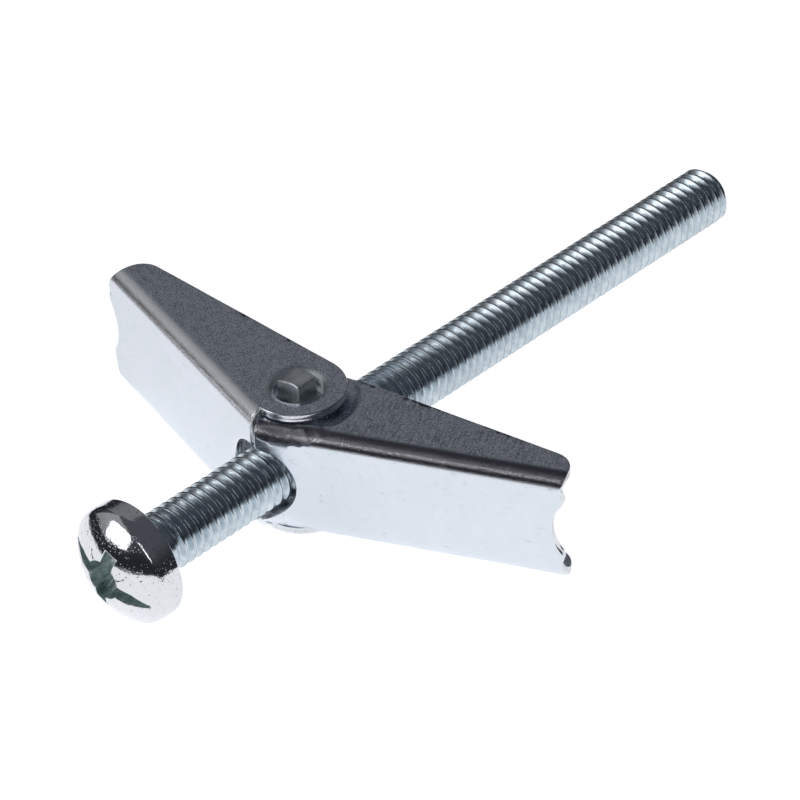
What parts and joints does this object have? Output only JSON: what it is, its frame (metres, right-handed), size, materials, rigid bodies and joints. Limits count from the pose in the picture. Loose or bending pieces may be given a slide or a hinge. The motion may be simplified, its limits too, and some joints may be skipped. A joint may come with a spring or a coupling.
{
  "type": "spring toggle bolt",
  "caption": "Machine screw with a pan head and a swivel nut that carries two spring-opened folding sheet wings, for fixing into a hollow wall.",
  "frame": {"origin": "centre of the bearing face under the head, on the screw's axis", "axes": "+Y along the screw to its tip, +Z along the wings' hinge, +X to the side of the inner wing"},
  "size_m": [0.0549, 0.0836, 0.0162],
  "materials": {
    "bright_zinc": "bright zinc plate",
    "sheet_zinc": "bright zinc plate with faint rolling marks",
    "cut_zinc": "zinc plate over sheared and milled faces",
    "spring_wire": "satin drawn wire"
  },
  "bodies": {
    "screw": {"screw": "bright_zinc"},
    "nut": {"nut": "cut_zinc", "spring": "spring_wire"},
    "wing_right": {"wing_right": "sheet_zinc"},
    "wing_left": {"wing_left": "sheet_zinc"}
  },
  "joints": [
    {"name": "nut_travel", "type": "slide", "parent": "screw", "child": "nut", "axis": [0, 1, 0], "range_m": [-0.014, 0.0559]},
    {"name": "wing_right_hinge", "type": "hinge", "parent": "nut", "child": "wing_right", "pos_m": [0, 0.0206, 0.0009], "axis": [0, 0, 1], "range_deg": [0, 66.5], "stiffness_Nm_per_rad": 0.018, "springref_deg": -22.92, "deforming": ["spring"]},
    {"name": "wing_left_hinge", "type": "hinge", "parent": "nut", "child": "wing_left", "pos_m": [0, 0.0206, 0.0009], "axis": [0, 0, -1], "range_deg": [0, 78.6], "stiffness_Nm_per_rad": 0.018, "springref_deg": -22.92, "deforming": ["spring"]}
  ]
}
